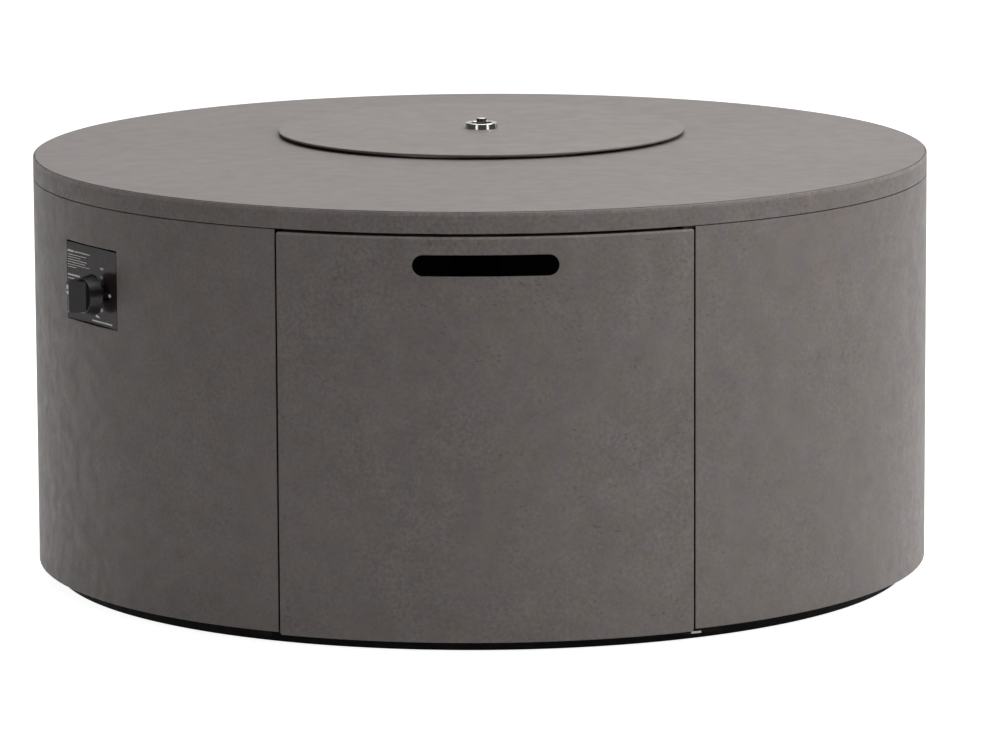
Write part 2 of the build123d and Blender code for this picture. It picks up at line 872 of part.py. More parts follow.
def air_mixer():
    tube = ring(mixer_radius, mixer_bore_radius, mixer_bottom, spigot_bottom)
    middle = (mixer_bottom + spigot_bottom) / 2
    window = Pos(0, 0, middle) * Rot(90, 0, 0) * Cylinder(mixer_window_radius, 2 * mixer_radius + sheet)
    return burner_place * (tube - [window, Rot(0, 0, 90) * window])


def inlet_elbow():
    upright = disc(elbow_radius, mixer_bottom - elbow_height, mixer_bottom)
    arm = Pos(0, 0, elbow_arm_height) * Rot(0, -90, 0) * disc(elbow_arm_radius, 0, elbow_arm_length)
    return burner_place * (upright + arm)


def heat_shield():
    return burner_place * ring(shield_radius, shield_hole_radius, shield_top - shield_sheet, shield_top)


def shield_spacers():
    spacer = disc(spacer_radius, shield_top, pan_floor_bottom)
    copies = around(spacer, pan_radius - spacer_inset, spacer_count, spacer_first_bearing)
    return group(burner_place * copy for copy in copies)


# Flame probe and spark electrode in front of the burner ring
probe_ring = burner_radius + burner_tube_width / 2 + bracket_ring_gap
probe_line = probe_ring + bracket_reach / 2
tab_top = pan_floor + bracket_height


def ignition_bracket():
    half = bracket_width / 2
    outer = probe_ring + bracket_reach
    upright = slab(-half, half, outer - bracket_sheet, outer, pan_floor, tab_top)
    tab = slab(-half, half, probe_ring, outer, tab_top - bracket_sheet, tab_top)
    foot = slab(-half, half, outer - bracket_reach / 2, outer, pan_floor, pan_floor + bracket_sheet)
    holes = []
    for side, radius in ((-1, probe_radius), (1, electrode_radius)):
        hole = disc(radius + probe_clearance, tab_top - bracket_reach, tab_top + sheet)
        holes.append(Pos(side * probe_spread / 2, -probe_line) * hole)
    return burner_place * (upright + tab + foot - holes)


def flame_probe():
    bottom = tab_top - probe_drop
    rod = disc(probe_radius, bottom, bottom + probe_length)
    collar = disc(probe_radius + probe_collar_margin, tab_top, tab_top + probe_collar)
    return burner_place * Pos(-probe_spread / 2, -probe_line) * (rod + collar)


def spark_electrode():
    bottom = tab_top - electrode_drop
    top = bottom + electrode_length
    body = disc(electrode_radius, bottom, top)
    collar = disc(electrode_radius + probe_collar_margin, tab_top, tab_top + probe_collar)
    rise = top + electrode_wire_rise
    reach = probe_line - burner_radius
    route = [(0, 0, tab_top), (0, 0, rise), (0, reach, rise)]
    path = FilletPolyline(*route, radius=electrode_wire_bend)
    wire = sweep(Pos(0, 0, tab_top) * Circle(electrode_wire_radius), path)
    place = burner_place * Pos(probe_spread / 2, -probe_line)
    return place * (body + collar + wire)


def lava_rock(index):
    """Faceted stone with a flat underside, different for each index."""
    turn = index * rock_turn
    lean = rock_tilt * sin(radians(turn))
    stone = Box(rock_size, rock_size, rock_height)
    stone &= Rot(lean, rock_tilt, rock_facet_turn) * Box(rock_size, rock_size, rock_size)
    stone &= Rot(rock_facet_turn, lean, rock_tilt) * Box(rock_size, rock_size, rock_size)
    return Pos(0, 0, pan_floor + rock_height / 2) * Rot(0, 0, turn) * stone


def inner_rock_bearings(circle):
    """Bearings of the stones inside the ring, on both sides of the cross tube."""
    tube_bearing = degrees(asin((cross_tube_radius + rock_tube_gap + rock_reach) / circle))
    sector = 180 - 2 * tube_bearing
    steps = int(radians(sector) * circle / rock_room)
    front = [sector * (step / steps - 1 / 2) for step in range(steps + 1)]
    return front + [bearing + 180 for bearing in front]


def outer_rock_bearings(circle):
    """Bearings of the stones along the pan wall, with room for the ignition bracket at the front."""
    count = int(2 * pi * circle / rock_room)
    bearings = [(index + 1 / 2) * 360 / count for index in range(count)]
    return [bearing for bearing in bearings if min(bearing, 360 - bearing) > bracket_clear_bearing]


def lava_rocks():
    inner_circle = (hub_radius + burner_radius - burner_tube_width / 2) / 2
    outer_circle = pan_radius - pan_sheet - rock_wall_gap - rock_reach
    places = [plan_point(inner_circle, bearing) for bearing in inner_rock_bearings(inner_circle)]
    places += [plan_point(outer_circle, bearing) for bearing in outer_rock_bearings(outer_circle)]
    return group(burner_place * Pos(*place) * lava_rock(index) for index, place in enumerate(places))


# Lid, which lies loose and slightly off the burner axis

def lid_plate():
    plate = disc(lid_radius, lid_bottom, lid_top)
    plate = fillet(plate.edges().filter_by(GeomType.CIRCLE), lid_edge_round)
    bolt_hole = disc(lid_bolt_radius + lid_bolt_clearance, lid_bottom - sheet, lid_top + sheet)
    return lid_place * (plate - bolt_hole)


def lid_bumpers():
    bumper = disc(bumper_radius, pan_flange_top, lid_bottom)
    circle = pan_radius + pan_flange / 2
    copies = around(bumper, circle, bumper_count, bumper_first_bearing)
    return group(lid_place * copy for copy in copies)


def handle_ring():
    top = lid_top + handle_height
    low = (Align.CENTER, Align.CENTER, Align.MIN)
    cup = Pos(0, 0, lid_top) * Cone(handle_radius, handle_radius - handle_taper, handle_height, align=low)
    cup -= disc(handle_inner_radius, lid_top + handle_web, top + sheet)
    cup = fillet(cup.edges().group_by(Axis.Z)[-1], handle_round)
    bolt_hole = disc(lid_bolt_radius + lid_bolt_clearance, lid_top - sheet, top)
    return lid_place * (cup - bolt_hole)


def handle_stud():
    seat = lid_top + handle_web
    post = disc(stud_post_radius, seat, seat + stud_post_height)
    post = fillet(post.edges().group_by(Axis.Z)[-1], stud_post_round)
    shank_bottom = lid_bottom - lid_nut_height - lid_bolt_tail
    return lid_place * (post + disc(lid_bolt_radius, shank_bottom, seat))


def handle_nut():
    nut = hexagon(lid_nut_flats, lid_bottom - lid_nut_height, lid_bottom)
    bore = disc(lid_bolt_radius + pivot_clearance, lid_bottom - cut_overrun, lid_bottom + cut_overrun)
    return lid_place * (nut - bore)


pieces = [
    floor_pads, plinth_ring, base_tray, left_shell, right_shell, rear_joint_strip,
    left_jamb, right_jamb, side_posts, top_ring, top_rails, rim_band, table_top,
    door_panel, door_brace, lower_pivot_block, upper_pivot_block,
    lower_hinge_plate, upper_hinge_plate, hinge_pins, hinge_bolts,
    catch_body, catch_magnet, strike_plate,
    control_plate, panel_studs, control_knob, valve_spindle, push_collar, return_spring,
    gas_valve, valve_screws, piezo_module, inlet_fitting, feed_pipe, pipe_nuts,
    burner_pan, burner_ring, burner_locknut, air_mixer, inlet_elbow, heat_shield, shield_spacers,
    ignition_bracket, flame_probe, spark_electrode, lava_rocks,
    lid_plate, lid_bumpers, handle_ring, handle_stud, handle_nut,
]

os.makedirs("parts", exist_ok=True)
for piece in pieces:
    export_step(piece(), f"parts/{piece.__name__}.step")
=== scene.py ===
"""Looks of a round gas fire-pit table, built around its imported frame. Lengths are in metres."""

import json
import math
import random

import bmesh
import bpy
from mathutils import Matrix, Vector, noise


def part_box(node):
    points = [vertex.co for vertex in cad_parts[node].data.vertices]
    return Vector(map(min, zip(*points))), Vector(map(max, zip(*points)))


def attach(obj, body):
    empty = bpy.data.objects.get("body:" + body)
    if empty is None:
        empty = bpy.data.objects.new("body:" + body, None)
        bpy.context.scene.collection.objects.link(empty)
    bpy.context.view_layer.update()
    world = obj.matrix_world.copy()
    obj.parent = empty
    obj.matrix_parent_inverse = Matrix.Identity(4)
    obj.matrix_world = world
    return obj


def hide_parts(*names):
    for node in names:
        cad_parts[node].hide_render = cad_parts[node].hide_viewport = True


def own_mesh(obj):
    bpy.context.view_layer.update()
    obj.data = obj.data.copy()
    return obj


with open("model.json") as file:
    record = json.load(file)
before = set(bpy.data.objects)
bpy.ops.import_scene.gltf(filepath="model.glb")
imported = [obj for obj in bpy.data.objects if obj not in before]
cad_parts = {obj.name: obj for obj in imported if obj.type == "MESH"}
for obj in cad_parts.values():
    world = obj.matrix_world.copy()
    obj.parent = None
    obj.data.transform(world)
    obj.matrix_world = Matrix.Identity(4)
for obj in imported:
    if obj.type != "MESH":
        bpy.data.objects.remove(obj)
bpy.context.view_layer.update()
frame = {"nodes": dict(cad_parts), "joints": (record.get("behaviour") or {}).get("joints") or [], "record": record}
nodes = frame["nodes"]
record = frame["record"]
joints = {joint["name"]: joint for joint in frame["joints"]}
scene = bpy.context.scene
scene.view_settings.view_transform = "Standard"

MM = 0.001
ORIGIN = Vector((0.0, 0.0, 0.0))
UP = Vector((0.0, 0.0, 1.0))
PLAN = Vector((1.0, 1.0, 0.0))
WHITE = (1.0, 1.0, 1.0, 1.0)

# Camera at the photograph's viewing angle: angles in degrees, lens and sensor in millimetres
CAMERA_PLACE = Vector((-0.0827, -7.5191, 1.5041))
CAMERA_YAW = -0.729
CAMERA_PITCH = 9.6647
CAMERA_ROLL = 0.2923
CAMERA_LENS = 233.4
CAMERA_SENSOR = 36.0

# Studio: white all round, with soft lamps and a dark curtain round the camera's side
WORLD_FILL = 0.105
WORLD_SEEN = 1.0
STAGE_ROUGHNESS = 0.9
FLOOR_SIZE = 30.0
FLOOR_COLOUR = (0.62, 0.62, 0.62, 1.0)
FLOOR_GLOW = 0.94
FLOOR_GLOW_FADE = 1.0 * MM
CURTAIN_RADIUS = 9.0
CURTAIN_HEIGHT = 7.0
CURTAIN_BEARINGS = (-145.0, 122.0)
CURTAIN_FOLDS = 48
CURTAIN_COLOUR = (0.02, 0.02, 0.02, 1.0)
CURTAIN_GLOW = 0.06
LAMP_AIM = Vector((0.0, 0.0, 0.35))
SOFTBOXES = (
    # name, place, width, height, power in watts
    ("overhead_softbox", (0.6, 0.5, 3.6), 4.5, 4.5, 122.0),
    ("key_softbox", (3.6, -1.5, 2.7), 1.8, 1.8, 76.0),
    ("side_softbox", (4.8, 1.4, 1.3), 2.0, 1.6, 24.0),
    ("left_strip", (-2.9, -4.1, 1.3), 1.4, 1.8, 13.6),
    ("right_strip", (3.7, -3.4, 1.3), 1.4, 1.8, 15.2),
)
# Lamps that leave no streak in polished metal
HIDDEN_IN_GLOSS = ("side_softbox",)

# Sizes and places read from the frame
rim_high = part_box("rim_band")[1]
door_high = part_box("door_panel")[1]
plinth_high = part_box("plinth_ring")[1]
pan_low, pan_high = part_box("burner_pan")
handle_low, handle_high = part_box("handle_ring")
body_radius = rim_high.x
plinth_radius = plinth_high.x
burner_axis = (pan_low + pan_high) / 2
handle_axis = (handle_low + handle_high) / 2
hinge_place = Vector(joints["door_hinge"]["pos_m"])
knob_place = Vector(joints["knob_turn"]["pos_m"])
knob_outward = Vector(joints["knob_turn"]["axis"]).normalized()


# Shader helper

# Spans that most noises are spread from, and the range of a share from none to all
NOISE_SPAN = (0.3, 0.7)
NARROW_SPAN = (0.35, 0.65)
SHARE = (0.0, 1.0)

# Sockets of the map range node, and colour sockets of the mix node
RANGE_SOCKETS = ("From Min", "From Max", "To Min", "To Max")
MIX_FIRST = 6
MIX_SECOND = 7
MIX_RESULT = 2

# Outward lean of a face, in shares of the body's radius, below which it counts as an inner one
INNER_LEAN = (-0.6, -0.3)
BEVEL_SAMPLES = 4


class Paint:
    """One procedural material that is built up node by node in object coordinates."""

    def __init__(self, name):
        self.material = bpy.data.materials.new(name)
        self.material.use_nodes = True
        self.tree = self.material.node_tree
        self.shader = self.tree.nodes["Principled BSDF"]
        self.coordinates = self.tree.nodes.new("ShaderNodeTexCoord")
        self.place = self.coordinates.outputs["Object"]

    def node(self, kind, **settings):
        made = self.tree.nodes.new(kind)
        for key, value in settings.items():
            setattr(made, key, value)
        return made

    def feed(self, socket, value):
        """Links an output into a socket, or sets the socket to a plain value."""
        if isinstance(value, bpy.types.NodeSocket):
            self.tree.links.new(value, socket)
        else:
            socket.default_value = value

    def set(self, **values):
        """Sets sockets of the shader by name, with spaces written as underscores."""
        for key, value in values.items():
            self.feed(self.shader.inputs[key.replace("_", " ")], value)

    def stretched(self, scale):
        """Object coordinates scaled differently along each axis."""
        mapping = self.node("ShaderNodeMapping")
        self.feed(mapping.inputs["Vector"], self.place)
        mapping.inputs["Scale"].default_value = scale
        return mapping.outputs["Vector"]

    def noise(self, scale, detail=3.0, roughness=0.55, place=None):
        """Soft noise, with its scale in waves per metre."""
        made = self.node("ShaderNodeTexNoise")
        self.feed(made.inputs["Vector"], place or self.place)
        made.inputs["Scale"].default_value = scale
        made.inputs["Detail"].default_value = detail
        made.inputs["Roughness"].default_value = roughness
        return made.outputs["Fac"]

    def cells(self, scale):
        """Distance from the middle of irregular cells, with their scale in cells per metre."""
        made = self.node("ShaderNodeTexVoronoi")
        self.feed(made.inputs["Vector"], self.place)
        made.inputs["Scale"].default_value = scale
        return made.outputs["Distance"]

    def spread(self, value, span, tones):
        """Maps a span of a value to a range of tones, held at its ends."""
        made = self.node("ShaderNodeMapRange")
        self.feed(made.inputs["Value"], value)
        for name, number in zip(RANGE_SOCKETS, (*span, *tones)):
            made.inputs[name].default_value = number
        return made.outputs["Result"]

    def math(self, operation, first, second):
        made = self.node("ShaderNodeMath", operation=operation)
        self.feed(made.inputs[0], first)
        self.feed(made.inputs[1], second)
        return made.outputs["Value"]

    def product(self, *values):
        result = values[0]
        for value in values[1:]:
            result = self.math("MULTIPLY", result, value)
        return result

    def vector(self, operation, first, second):
        """Vector arithmetic; returns the node, whose outputs differ by operation."""
        made = self.node("ShaderNodeVectorMath", operation=operation)
        self.feed(made.inputs[0], first)
        self.feed(made.inputs[1], second)
        return made

    def along(self, first, second):
        """Length of one vector along another."""
        return self.vector("DOT_PRODUCT", first, second).outputs["Value"]

    def mix(self, share, first, second):
        """Blends two colours by a share."""
        made = self.node("ShaderNodeMix", data_type="RGBA")
        self.feed(made.inputs["Factor"], share)
        for index, value in ((MIX_FIRST, first), (MIX_SECOND, second)):
            linked = isinstance(value, bpy.types.NodeSocket)
            self.feed(made.inputs[index], value if linked else (*value, 1.0))
        return made.outputs[MIX_RESULT]

    def shade(self, colour, factor):
        """Multiplies a colour by a grey factor."""
        made = self.node("ShaderNodeVectorMath", operation="SCALE")
        self.feed(made.inputs[0], colour)
        self.feed(made.inputs["Scale"], factor)
        return made.outputs["Vector"]

    def height(self):
        """Height above the floor."""
        made = self.node("ShaderNodeSeparateXYZ")
        self.feed(made.inputs[0], self.place)
        return made.outputs["Z"]

    def axis_distance(self, centre):
        """Distance in plan from an upright axis."""
        shifted = self.vector("SUBTRACT", self.place, centre)
        flat = self.vector("MULTIPLY", shifted.outputs["Vector"], PLAN)
        return self.vector("LENGTH", flat.outputs["Vector"], ORIGIN).outputs["Value"]

    def outer_skin(self):
        """1 on faces that look away from the body's axis and on cut edges, 0 on the inner side."""
        flat = self.vector("MULTIPLY", self.place, PLAN)
        lean = self.along(self.coordinates.outputs["Normal"], flat.outputs["Vector"])
        return self.spread(lean, [share * body_radius for share in INNER_LEAN], SHARE)

    def surface(self, height, depth, edge):
        """Bump of a real depth over edges that are softened by a small radius."""
        bevel = self.node("ShaderNodeBevel", samples=BEVEL_SAMPLES)
        bevel.inputs["Radius"].default_value = edge
        bump = self.node("ShaderNodeBump")
        bump.inputs["Distance"].default_value = depth
        self.feed(bump.inputs["Height"], height)
        self.feed(bump.inputs["Normal"], bevel.outputs["Normal"])
        self.feed(self.shader.inputs["Normal"], bump.outputs["Normal"])

    def skin(self, roughness, sheen, grain, depth, edge):
        """Roughness that drifts with a noise, and a noise grain over softened edges."""
        self.set(Roughness=self.spread(self.noise(*sheen), NOISE_SPAN, roughness))
        self.surface(self.noise(*grain), depth, edge)


def around(middle, drift):
    """Range from a little below to a little above a middle value."""
    less, more = drift
    return middle - less, middle + more


# Materials. A noise is given as its scale, its detail and its roughness

# Concrete coat
COAT_COLOUR = (0.158, 0.1365, 0.1285)
LID_COLOUR = (0.1735, 0.1505, 0.1405)
INSIDE_COLOUR = (0.03, 0.028, 0.027)
WARM_PATCH = (1.012, 1.0, 0.955)
COOL_PATCH = (0.984, 0.994, 1.04)
PATCH_NOISE = (42.0, 1.0)
COAT_ROUGHNESS = 0.55
COAT_SHEEN_NOISE = (60.0, 4.0)
COAT_SPECULAR = 0.45
COAT_EDGE = 1.6 * MM
FINE_GRAIN_NOISE = (900.0, 3.0)
COARSE_GRAIN_NOISE = (160.0, 3.0)
CLOUD_NOISE = (5.0, 3.0)
CLOUD_TONES = (0.95, 1.05)
MOTTLE_NOISE = (32.0, 2.0)
FLECK_NOISE = (230.0, 3.0, 0.6)
THICKNESS_NOISE = (8.0, 2.0)
THICKNESS_TONES = (0.5, 1.4)
CLUSTER_NOISE = (22.0, 2.0)
CLUSTER_SPAN = (0.45, 0.62)
SPECK_NOISE = (1.0, 2.0, 0.5)
SPECK_STRETCH = (170.0, 170.0, 320.0)
SPECK_SPAN = (0.60, 0.70)
SPECK_GAIN = 2.0
HAIR_NOISE = (1.0, 1.0, 0.4)
HAIR_STRETCH = (420.0, 420.0, 26.0)
HAIR_SPAN = (0.80, 0.84)
HAIR_GAIN = 0.16

# Strength of the coat's flecks, of its mottle and of its sheen, and depth of its grain
SHELL_TEXTURE = dict(fleck=0.13, stain=0.075, sheen=0.07, grain=0.06 * MM)
DOOR_TEXTURE = dict(fleck=0.18, stain=0.08, sheen=0.07, grain=0.06 * MM)
RIM_TEXTURE = dict(fleck=0.19, stain=0.07, sheen=0.07, grain=0.06 * MM)
TOP_TEXTURE = dict(fleck=0.02, stain=0.1, sheen=0.025, grain=0.015 * MM)

# Painted highlight along the upper edges of the coat, standing in for the light that a rounded edge catches:
# height of the edge, depth of the lighter strip and how much lighter it is
DOOR_PAINTED_HIGHLIGHT = (door_high.z, 2.3 * MM, 0.5)
RIM_PAINTED_HIGHLIGHT = (rim_high.z, 3.6 * MM, 0.28)
HIGHLIGHT_FADE = 0.8 * MM


def coat_tone(paint, fleck, stain):
    """Brightness of the coat: soft clouds, flecks, clustered dark specks and a few pale hairlines."""
    clouds = paint.spread(paint.noise(*CLOUD_NOISE), NOISE_SPAN, CLOUD_TONES)
    mottle = paint.spread(paint.noise(*MOTTLE_NOISE), NOISE_SPAN, (1.0 - stain, 1.0 + stain))
    thickness = paint.spread(paint.noise(*THICKNESS_NOISE), NARROW_SPAN, THICKNESS_TONES)
    fine = paint.spread(paint.noise(*FLECK_NOISE), NOISE_SPAN, (-fleck, fleck))
    flecks = paint.math("ADD", 1.0, paint.product(fine, thickness))
    cluster = paint.spread(paint.noise(*CLUSTER_NOISE), CLUSTER_SPAN, SHARE)
    speck_noise = paint.noise(*SPECK_NOISE, paint.stretched(SPECK_STRETCH))
    spots = paint.spread(speck_noise, SPECK_SPAN, (0.0, SPECK_GAIN * fleck))
    specks = paint.math("SUBTRACT", 1.0, paint.product(cluster, spots))
    hair_noise = paint.noise(*HAIR_NOISE, paint.stretched(HAIR_STRETCH))
    hairs = paint.math("ADD", 1.0, paint.spread(hair_noise, HAIR_SPAN, (0.0, HAIR_GAIN)))
    return paint.product(clouds, mottle, flecks, specks, hairs)


def patchy_colour(paint, colour):
    """A colour with slightly warmer and slightly cooler patches."""
    warmer = tuple(value * share for value, share in zip(colour, WARM_PATCH))
    cooler = tuple(value * share for value, share in zip(colour, COOL_PATCH))
    patches = paint.spread(paint.noise(*PATCH_NOISE), NARROW_SPAN, SHARE)
    return paint.mix(patches, warmer, cooler)


def concrete_coat(name, colour, texture, inside=False, painted_highlight=None):
    """Sprayed mineral coat; the inner side can be dark, and a painted highlight can lighten a strip below the
    upper edge.
    """
    paint = Paint(name)
    tone = coat_tone(paint, texture["fleck"], texture["stain"])
    # Painted highlight: the tone is raised in a thin strip just below the upper edge.
    if painted_highlight:
        top, depth, gain = painted_highlight
        strip = (top - depth - HIGHLIGHT_FADE, top - depth)
        tone = paint.product(tone, paint.spread(paint.height(), strip, (1.0, 1.0 + gain)))
    finish = paint.shade(patchy_colour(paint, colour), tone)
    if inside:
        finish = paint.mix(paint.outer_skin(), INSIDE_COLOUR, finish)
    roughness = around(COAT_ROUGHNESS, (texture["sheen"], texture["sheen"]))
    rough = paint.spread(paint.noise(*COAT_SHEEN_NOISE), NOISE_SPAN, roughness)
    paint.set(Base_Color=finish, Roughness=rough, Specular_IOR_Level=COAT_SPECULAR)
    grain = paint.math("ADD", paint.noise(*FINE_GRAIN_NOISE), paint.noise(*COARSE_GRAIN_NOISE))
    paint.surface(grain, texture["grain"], COAT_EDGE)
    return paint.material


# Powder coat
POWDER_BLACK = (0.01, 0.01, 0.01)
POWDER_NOISE = (40.0, 4.0)
POWDER_TONES = (0.7, 1.25)
POWDER_ROUGHNESS = (0.6, 0.78)
POWDER_SKIN = dict(sheen=(90.0,), grain=(700.0, 2.0), depth=0.08 * MM, edge=0.4 * MM)


def powder_black(name, gloss):
    """Black powder coat with orange-peel texture."""
    paint = Paint(name)
    tone = paint.spread(paint.noise(*POWDER_NOISE), NOISE_SPAN, POWDER_TONES)
    paint.set(Base_Color=paint.shade(POWDER_BLACK, tone), Specular_IOR_Level=gloss)
    paint.skin(POWDER_ROUGHNESS, **POWDER_SKIN)
    return paint.material


# Control panel; its gloss film ends at a small depth below the front of the raised field
PANEL_BLACK = (0.026, 0.0195, 0.0185)
HAZE_NOISE = (70.0, 4.0)
HAZE_SPAN = (0.35, 0.7)
HAZE_TONES = (0.8, 1.3)
PANEL_ROUGHNESS = (0.75, 0.9)
PANEL_SKIN = dict(sheen=(45.0, 5.0), grain=(1500.0, 2.0), depth=0.004 * MM, edge=0.3 * MM)
FILM_DEPTH = 1.0 * MM
FILM_IOR = 1.19
FILM_ROUGHNESS = 0.24


def satin_panel(name):
    """Matt black panel with a thin gloss film and a haze of dust on its raised field."""
    paint = Paint(name)
    haze = paint.spread(paint.noise(*HAZE_NOISE), HAZE_SPAN, HAZE_TONES)
    paint.set(Base_Color=paint.shade(PANEL_BLACK, haze), Specular_IOR_Level=0.0)
    front = knob_outward.dot(knob_place)
    reach = paint.along(paint.place, knob_outward)
    film = paint.spread(reach, (front - FILM_DEPTH, front - FILM_DEPTH / 2), SHARE)
    paint.set(Coat_Weight=film, Coat_IOR=FILM_IOR, Coat_Roughness=FILM_ROUGHNESS)
    paint.skin(PANEL_ROUGHNESS, **PANEL_SKIN)
    return paint.material


# Moulded plastics
NYLON_BLACK = (0.018, 0.018, 0.018)
MAGNET_GREY = (0.045, 0.044, 0.043)
KNOB_BLACK = (0.01, 0.01, 0.01)
FLOW_NOISE = (55.0, 3.0)
FLOW_TONES = (0.85, 1.18)
PLASTIC_DRIFT = (0.05, 0.06)
PLASTIC_SKIN = dict(sheen=(130.0, 3.0), grain=(2600.0, 2.0), depth=0.02 * MM, edge=0.45 * MM)


def moulded_plastic(name, colour, rough, gloss=0.5):
    """Moulded plastic with fine spark-eroded grain and faint flow marks."""
    paint = Paint(name)
    flow = paint.spread(paint.noise(*FLOW_NOISE), NOISE_SPAN, FLOW_TONES)
    paint.set(Base_Color=paint.shade(colour, flow), Specular_IOR_Level=gloss)
    paint.skin(around(rough, PLASTIC_DRIFT), **PLASTIC_SKIN)
    return paint.material


# Rubber
RUBBER_BLACK = (0.012, 0.012, 0.012)
RUBBER_DUST = (0.03, 0.029, 0.028)
DUST_NOISE = (120.0, 4.0)
DUST_SPAN = (0.4, 0.75)
DUST_SHARE = (0.0, 0.5)
RUBBER_SPECULAR = 0.15
RUBBER_ROUGHNESS = (0.75, 0.9)
RUBBER_SKIN = dict(sheen=(80.0,), grain=(900.0,), depth=0.05 * MM, edge=0.6 * MM)


def rubber(name):
    """Dusty black rubber."""
    paint = Paint(name)
    dust = paint.spread(paint.noise(*DUST_NOISE), DUST_SPAN, DUST_SHARE)
    paint.set(Base_Color=paint.mix(dust, RUBBER_BLACK, RUBBER_DUST))
    paint.set(Specular_IOR_Level=RUBBER_SPECULAR)
    paint.skin(RUBBER_ROUGHNESS, **RUBBER_SKIN)
    return paint.material


# Plated and cast metals
ZINC = (0.6, 0.6, 0.58)
BLACK_ZINC = (0.035, 0.034, 0.033)
VALVE_ALLOY = (0.5, 0.5, 0.49)
BRASS = (0.62, 0.42, 0.17)
SPANGLE_SPAN = (0.0, 0.8)
SPANGLE_TONES = (0.88, 1.1)
STAIN_NOISE = (30.0, 4.0)
STAIN_SPAN = (0.35, 0.7)
STAIN_TONES = (0.86, 1.08)
METAL_DRIFT = (0.08, 0.1)
METAL_SKIN = dict(sheen=(75.0, 4.0), grain=(600.0, 3.0), depth=0.03 * MM, edge=0.4 * MM)


def plated_metal(name, colour, rough, spangle=55.0):
    """Plated or cast metal with soft spangle, faint stains and rounded edges."""
    paint = Paint(name)
    flakes = paint.spread(paint.cells(spangle), SPANGLE_SPAN, SPANGLE_TONES)
    stain = paint.spread(paint.noise(*STAIN_NOISE), STAIN_SPAN, STAIN_TONES)
    paint.set(Base_Color=paint.shade(colour, paint.product(flakes, stain)), Metallic=1.0)
    paint.skin(around(rough, METAL_DRIFT), **METAL_SKIN)
    return paint.material


# Lower hinge plate, with the length of its bright end
BARE_ZINC = (0.3, 0.295, 0.29)
WORN_LENGTH = 14.0 * MM
WORN_FADE = 1.0 * MM
WORN_NOISE = (300.0,)
WORN_SPECULAR = 0.06
WORN_ROUGHNESS = (0.4, 0.55)


def worn_plate(name):
    """Black-coated hinge plate whose end beside the door edge is rubbed down to bright zinc."""
    paint = Paint(name)
    lengthwise = Vector((-hinge_place.y, hinge_place.x, 0.0)).normalized()
    raggedness = paint.spread(paint.noise(*WORN_NOISE), NOISE_SPAN, (-WORN_FADE, WORN_FADE))
    ragged = paint.math("ADD", paint.along(paint.place, lengthwise), raggedness)
    end = max(lengthwise.dot(vertex.co) for vertex in nodes["lower_hinge_plate"].data.vertices)
    start = end - WORN_LENGTH
    bare = paint.spread(ragged, (start - WORN_FADE, start + WORN_FADE), SHARE)
    paint.set(Base_Color=paint.mix(bare, POWDER_BLACK, BARE_ZINC), Metallic=bare)
    paint.set(Specular_IOR_Level=WORN_SPECULAR)
    paint.skin(WORN_ROUGHNESS, **METAL_SKIN)
    return paint.material


# Brushed steel and its heat tints
BRUSHED_DARK = (0.56, 0.55, 0.53)
BRUSHED_LIGHT = (0.62, 0.61, 0.6)
BRUSHED_NOISE = (14.0, 3.0)
BRUSH_NOISE = (1.0, 2.0, 0.5)
BRUSH_STRETCH = (60.0, 1600.0, 1600.0)
BRUSH_TONES = (0.86, 1.08)
BRUSH_DRIFT = (0.06, 0.1)
BRUSH_DEPTH = 0.01 * MM
BRUSHED_EDGE = 0.4 * MM
STRAW_TINT = (0.46, 0.33, 0.19)
STRAW_NOISE = (26.0, 4.0)
STRAW_SPAN = (0.42, 0.62)
STRAW_SHARE = (0.0, 0.75)
BLUE_TINT = (0.17, 0.19, 0.28)
BLUE_NOISE = (19.0, 4.0)
BLUE_SPAN = (0.55, 0.7)
BLUE_SHARE = (0.0, 0.6)


def brushed_steel(name, rough, heat=False):
    """Brushed stainless steel; near the flames it carries straw and blue heat tints."""
    paint = Paint(name)
    brush = paint.noise(*BRUSH_NOISE, paint.stretched(BRUSH_STRETCH))
    tone = paint.spread(brush, NOISE_SPAN, BRUSH_TONES)
    steel = paint.mix(paint.noise(*BRUSHED_NOISE), BRUSHED_DARK, BRUSHED_LIGHT)
    if heat:
        straw = paint.spread(paint.noise(*STRAW_NOISE), STRAW_SPAN, STRAW_SHARE)
        blue = paint.spread(paint.noise(*BLUE_NOISE), BLUE_SPAN, BLUE_SHARE)
        steel = paint.mix(straw, steel, STRAW_TINT)
        steel = paint.mix(blue, steel, BLUE_TINT)
    paint.set(Base_Color=paint.shade(steel, tone), Metallic=1.0)
    paint.set(Roughness=paint.spread(brush, NOISE_SPAN, around(rough, BRUSH_DRIFT)))
    paint.surface(brush, BRUSH_DEPTH, BRUSHED_EDGE)
    return paint.material


# Polished steel; the grazing tint is what it mirrors at flat angles
POLISHED_DARK = (0.5, 0.49, 0.48)
POLISHED_LIGHT = (0.58, 0.57, 0.56)
# Painted shade for the sides that don't face up
POLISHED_PAINTED_SHADE = (0.1, 0.095, 0.09)
POLISHED_GRAZING = (0.75, 0.75, 0.75, 1.0)
POLISHED_ROUGHNESS = (0.09, 0.17)
POLISHED_EDGE = 0.5 * MM
SMEAR_NOISE = (190.0, 3.0)
TURNED_RINGS_PER_METRE = 9000.0
TURNED_RING_DETAIL = 2.0
TURNED_RING_DEPTH = 0.002 * MM
UPWARD_SPAN = (0.3, 0.7)


